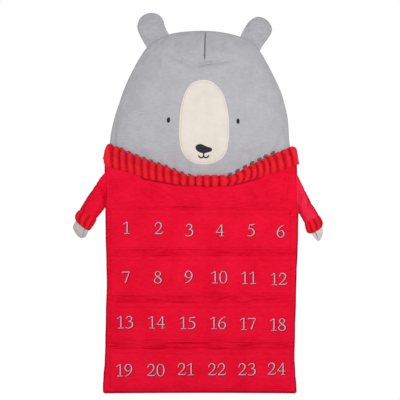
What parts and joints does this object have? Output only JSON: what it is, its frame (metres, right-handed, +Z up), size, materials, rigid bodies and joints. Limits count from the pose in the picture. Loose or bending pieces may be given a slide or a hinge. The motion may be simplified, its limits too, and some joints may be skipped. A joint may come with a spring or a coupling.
{
  "type": "hanging fabric advent calendar",
  "caption": "Wall-hung fabric advent calendar shaped as a bear in a jumper: stuffed head, ears and arms, ribbed collar, and a flat body with rows of small gift pockets.",
  "frame": {"origin": "on the wall plane, where the hook bears under the top of the hanging loop", "axes": "+Z up along the calendar, +X to the viewer's right, the front looks along -Y and the wall is the plane y = 0"},
  "size_m": [0.6059, 0.0478, 0.9099],
  "materials": {
    "red_felt": "matt needled felt",
    "interlining": "matt stiffening felt",
    "red_velour": "matt short-pile velour",
    "pocket_velour": "matt short-pile velour",
    "ribbed_plush": "soft chunky ribbed plush",
    "grey_jersey": "brushed cotton jersey",
    "wadding": "polyester wadding",
    "cream_cloth": "matt cotton cloth",
    "charcoal_thread": "satin-stitched thread",
    "paw_jersey": "brushed cotton jersey",
    "loop_tape": "woven tape"
  },
  "bodies": {
    "calendar": {"back_panel": "red_felt", "interlining": "interlining", "front_panel": "red_velour", "pocket_row_1": "pocket_velour", "pocket_row_2": "pocket_velour", "pocket_row_3": "pocket_velour", "pocket_row_4": "pocket_velour", "collar": "ribbed_plush", "head_front": "grey_jersey", "head_back": "grey_jersey", "head_filling": "wadding", "muzzle_patch": "cream_cloth", "nose": "charcoal_thread", "mouth": "charcoal_thread", "eye_left": "charcoal_thread", "eye_right": "charcoal_thread"},
    "ear_left": {"ear_left_front": "grey_jersey", "ear_left_back": "grey_jersey", "ear_left_filling": "wadding"},
    "ear_right": {"ear_right_front": "grey_jersey", "ear_right_back": "grey_jersey", "ear_right_filling": "wadding"},
    "arm_left": {"sleeve_left": "red_velour", "arm_filling_left": "wadding", "cuff_left": "ribbed_plush", "paw_left": "paw_jersey"},
    "arm_right": {"sleeve_right": "red_velour", "arm_filling_right": "wadding", "cuff_right": "ribbed_plush", "paw_right": "paw_jersey"},
    "loop": {"hanging_loop": "loop_tape"}
  },
  "joints": [
    {"name": "ear_left_flop", "type": "hinge", "parent": "calendar", "child": "ear_left", "pos_m": [-0.10129, -0.012, -0.00776], "axis": [0.8896, 0, 0.4567], "range_deg": [-8, 40], "stiffness_Nm_per_rad": 0.05},
    {"name": "ear_right_flop", "type": "hinge", "parent": "calendar", "child": "ear_right", "pos_m": [0.1182, -0.012, -0.02023], "axis": [0.8165, 0, -0.5773], "range_deg": [-8, 40], "stiffness_Nm_per_rad": 0.05},
    {"name": "arm_left_swing", "type": "hinge", "parent": "calendar", "child": "arm_left", "pos_m": [-0.2303, -0.0063, -0.3665], "axis": [0, 0, 1], "range_deg": [-5, 110]},
    {"name": "arm_right_swing", "type": "hinge", "parent": "calendar", "child": "arm_right", "pos_m": [0.2303, -0.0063, -0.38], "axis": [0, 0, -1], "range_deg": [-5, 110]},
    {"name": "loop_flip", "type": "hinge", "parent": "calendar", "child": "loop", "pos_m": [0, -0.00195, -0.036], "axis": [-1, 0, 0], "range_deg": [0, 150]}
  ]
}
